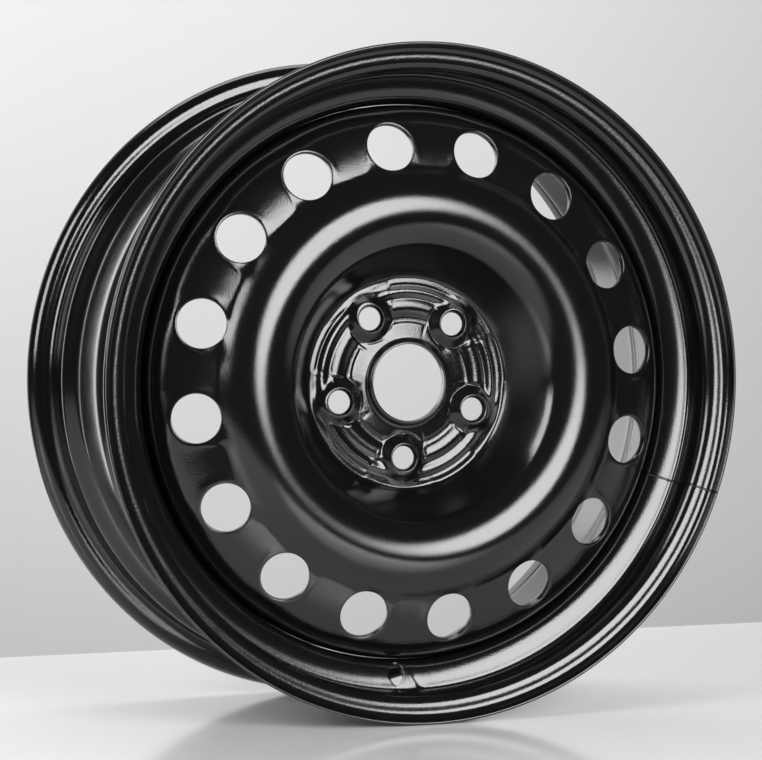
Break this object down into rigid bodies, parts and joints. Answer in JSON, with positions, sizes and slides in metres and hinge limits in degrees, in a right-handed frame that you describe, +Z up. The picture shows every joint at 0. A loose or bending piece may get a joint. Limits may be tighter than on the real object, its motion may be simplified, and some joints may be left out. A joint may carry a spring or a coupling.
{
  "type": "steel wheel",
  "caption": "Pressed steel road wheel: a rolled rim with a drop well, and a domed disc with round hand holes and a bossed hub, welded in behind.",
  "frame": {"origin": "the wheel's centre: the point on the axle line midway between the two flange lips, in the rim's centre plane", "axes": "+Y along the axle line, inboard, so the hub face looks along +Y and the outboard side looks along -Y; +Z up with the wheel standing, the valve hole at the foot, turned 3.5 degrees from straight down"},
  "size_m": [0.497, 0.213, 0.497],
  "materials": {
    "rim_paint": "gloss black baked paint over rolled steel sheet, with a faint orange peel",
    "disc_paint": "gloss black baked paint over pressed steel sheet, with a fine orange peel that is stronger on the stretched crown",
    "weld_paint": "black baked paint over rippled weld bead"
  },
  "bodies": {
    "root": {"rim": "rim_paint", "disc": "disc_paint", "weld_1": "weld_paint", "weld_2": "weld_paint", "weld_3": "weld_paint", "weld_4": "weld_paint", "weld_5": "weld_paint", "weld_6": "weld_paint", "weld_7": "weld_paint", "weld_8": "weld_paint"}
  },
  "joints": []
}
